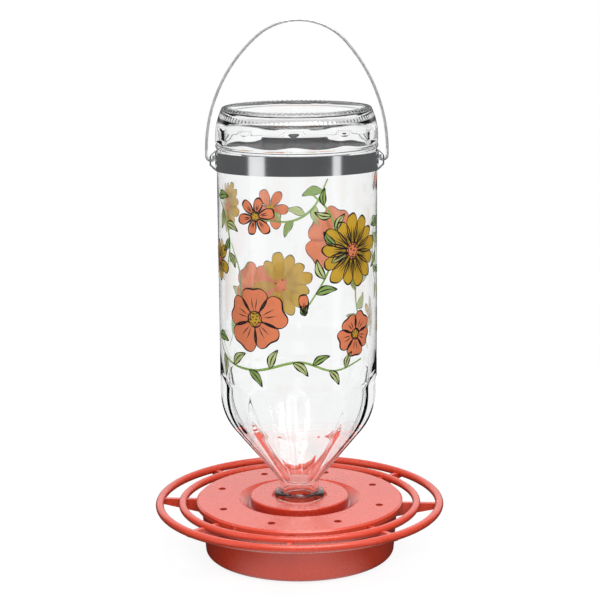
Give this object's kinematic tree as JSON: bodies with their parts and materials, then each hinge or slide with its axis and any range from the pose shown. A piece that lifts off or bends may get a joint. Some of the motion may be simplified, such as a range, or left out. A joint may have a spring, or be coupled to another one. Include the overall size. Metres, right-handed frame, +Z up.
{
  "type": "hanging nectar feeder",
  "caption": "Hanging nectar feeder: clear fluted bottle screwed mouth down into a round red feeding base with perch rings, and a wire bail on a steel strap.",
  "frame": {"origin": "centre of the bowl's flat underside, on the bottle's axis", "axes": "+Z up along the bottle's axis, +X along the bail's hinge to the right, -Y towards the viewer"},
  "size_m": [0.1678, 0.1678, 0.3084],
  "materials": {
    "bowl_plastic": "satin-gloss coral red moulding",
    "cover_plastic": "satin-gloss coral red moulding",
    "clear_glass": "clear, moulded, with a printed panel",
    "strap_steel": "bright rolled strip",
    "bail_wire": "galvanised drawn wire"
  },
  "bodies": {
    "base": {"bowl": "bowl_plastic"},
    "feeding_cover": {"cover": "cover_plastic"},
    "bottle": {"bottle": "clear_glass", "band": "strap_steel"},
    "hanger": {"bail": "bail_wire"}
  },
  "joints": [
    {"name": "cover_lift", "type": "slide", "parent": "base", "child": "feeding_cover", "axis": [0, 0, 1], "range_m": [0, 0.035]},
    {"name": "bottle_lift", "type": "slide", "parent": "feeding_cover", "child": "bottle", "axis": [0, 0, 1], "range_m": [0, 0.03]},
    {"name": "bail_swing", "type": "hinge", "parent": "bottle", "child": "hanger", "pos_m": [0, 0, 0.23], "axis": [1, 0, 0], "range_deg": [-135, 135]}
  ]
}
